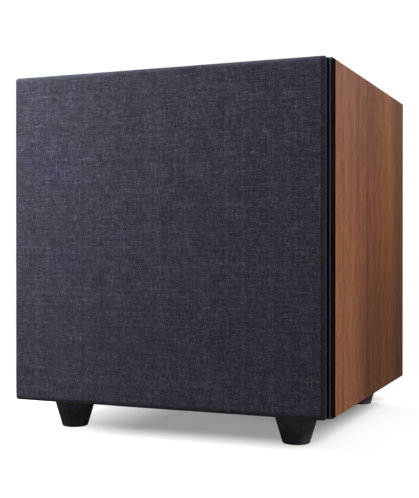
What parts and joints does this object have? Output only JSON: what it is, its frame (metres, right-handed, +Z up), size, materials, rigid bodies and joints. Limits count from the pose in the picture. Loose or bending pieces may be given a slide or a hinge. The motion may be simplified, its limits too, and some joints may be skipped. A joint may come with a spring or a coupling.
{
  "type": "subwoofer",
  "caption": "Cube-shaped powered subwoofer with a walnut-wrapped cabinet, tapered rubber feet, a pull-off cloth grille over the woofer and an amplifier plate with controls on the back.",
  "frame": {"origin": "on the floor under the centre of the cabinet, at the middle of the four feet", "axes": "+Z up; -Y is the front, where the grille faces; +Y is the back with the amplifier plate; +X is the right-hand side seen from the front"},
  "size_m": [0.3, 0.323, 0.326],
  "materials": {
    "black_baffle": "black satin lacquer over MDF",
    "board": "raw MDF edge and face",
    "walnut": "walnut-pattern sheet, satin, vertical grain on the sides",
    "black_plastic": "fine satin moulding",
    "wadding": "white polyester fibre",
    "foot_rubber": "matte black",
    "zinc_screw": "zinc plated",
    "black_screw": "black oxide",
    "basket_steel": "black powder coat on pressed steel",
    "foam": "closed-cell foam strip",
    "surround_rubber": "smooth butyl",
    "cone_paper": "pressed paper pulp with a coated front",
    "cap_coat": "coated paper",
    "former_foil": "thin foil",
    "coil_wire": "enamelled copper",
    "spider_cloth": "resin-treated cotton",
    "motor_steel": "black passivated steel",
    "ferrite": "sintered ferrite",
    "tag_strip": "tinned brass tags on a strip",
    "braid": "braided copper tinsel",
    "grille_board": "black-stained MDF",
    "grille_fabric": "slubby dark blue-grey weave",
    "plate_paint": "black textured powder coat on aluminium",
    "control_metal": "plated steel",
    "knob_plastic": "satin black with a light pointer",
    "slider_plastic": "white acetal",
    "switch_black": "black moulding",
    "gold_plate": "gold plated",
    "insulator": "white insulator",
    "light_lens": "green lens",
    "fuse_glass": "clear tube with plated caps",
    "circuit_board": "green solder mask",
    "capacitor_sleeve": "shrink sleeve",
    "winding_tape": "amber tape over copper",
    "cable_jacket": "PVC insulation"
  },
  "bodies": {
    "cabinet": {"front_baffle": "black_baffle", "left_panel": "board", "right_panel": "board", "top_panel": "board", "bottom_panel": "board", "rear_panel": "black_baffle", "walnut_wrap": "walnut", "port_tube": "black_plastic", "wadding_pads": "wadding", "rubber_feet": "foot_rubber", "foot_washers": "zinc_screw", "foot_screws": "zinc_screw", "woofer_basket": "basket_steel", "woofer_gasket": "foam", "woofer_screws": "black_screw", "trim_ring": "foam", "surround": "surround_rubber", "spider": "spider_cloth", "motor_top_plate": "motor_steel", "magnet": "ferrite", "motor_yoke": "motor_steel", "woofer_terminals": "tag_strip", "tinsel_leads": "braid", "grille_sockets": "black_plastic", "amp_plate": "plate_paint", "amp_gasket": "foam", "amp_screws": "black_screw", "control_pots": "control_metal", "pot_nuts": "control_metal", "slide_switch_housings": "control_metal", "rca_housing": "switch_black", "rca_shells": "gold_plate", "rca_insulators": "insulator", "status_light": "light_lens", "mains_inlet": "switch_black", "inlet_pins": "control_metal", "rocker_housing": "switch_black", "control_board": "circuit_board", "amp_board": "circuit_board", "board_standoffs": "control_metal", "filter_capacitors": "capacitor_sleeve", "transformer": "winding_tape", "transformer_bolt": "zinc_screw", "speaker_wires": "cable_jacket"},
    "grille": {"grille_frame": "grille_board", "grille_cloth": "grille_fabric", "grille_pegs": "black_plastic"},
    "cone_assembly": {"cone": "cone_paper", "dust_cap": "cap_coat", "coil_former": "former_foil", "coil_winding": "coil_wire"},
    "volume_control": {"volume_knob": "knob_plastic", "volume_shaft": "control_metal"},
    "crossover_control": {"crossover_knob": "knob_plastic", "crossover_shaft": "control_metal"},
    "phase_switch": {"phase_slider": "slider_plastic"},
    "mode_switch": {"mode_slider": "slider_plastic"},
    "power_rocker": {"mains_rocker": "switch_black"},
    "fuse_tray": {"fuse_drawer": "switch_black", "fuse": "fuse_glass"}
  },
  "joints": [
    {"name": "grille_pull", "type": "slide", "parent": "cabinet", "child": "grille", "axis": [0, -1, 0], "range_m": [0, 0.06]},
    {"name": "cone_stroke", "type": "slide", "parent": "cabinet", "child": "cone_assembly", "axis": [0, -1, 0], "range_m": [-0.006, 0.006], "stiffness_N_per_m": 1400, "deforming": ["surround", "spider", "tinsel_leads"]},
    {"name": "volume_turn", "type": "hinge", "parent": "cabinet", "child": "volume_control", "pos_m": [0.078, 0.155, 0.16], "axis": [0, 1, 0], "range_deg": [-150, 150]},
    {"name": "crossover_turn", "type": "hinge", "parent": "cabinet", "child": "crossover_control", "pos_m": [0.034, 0.155, 0.16], "axis": [0, 1, 0], "range_deg": [-150, 150]},
    {"name": "phase_select", "type": "slide", "parent": "cabinet", "child": "phase_switch", "axis": [1, 0, 0], "range_m": [0, 0.004]},
    {"name": "mode_select", "type": "slide", "parent": "cabinet", "child": "mode_switch", "axis": [1, 0, 0], "range_m": [-0.0025, 0.0025]},
    {"name": "power_switch", "type": "hinge", "parent": "cabinet", "child": "power_rocker", "pos_m": [-0.072, 0.146, 0.15], "axis": [0, 0, 1], "range_deg": [-20, 0]},
    {"name": "fuse_pull", "type": "slide", "parent": "cabinet", "child": "fuse_tray", "axis": [0, 1, 0], "range_m": [0, 0.018]}
  ]
}
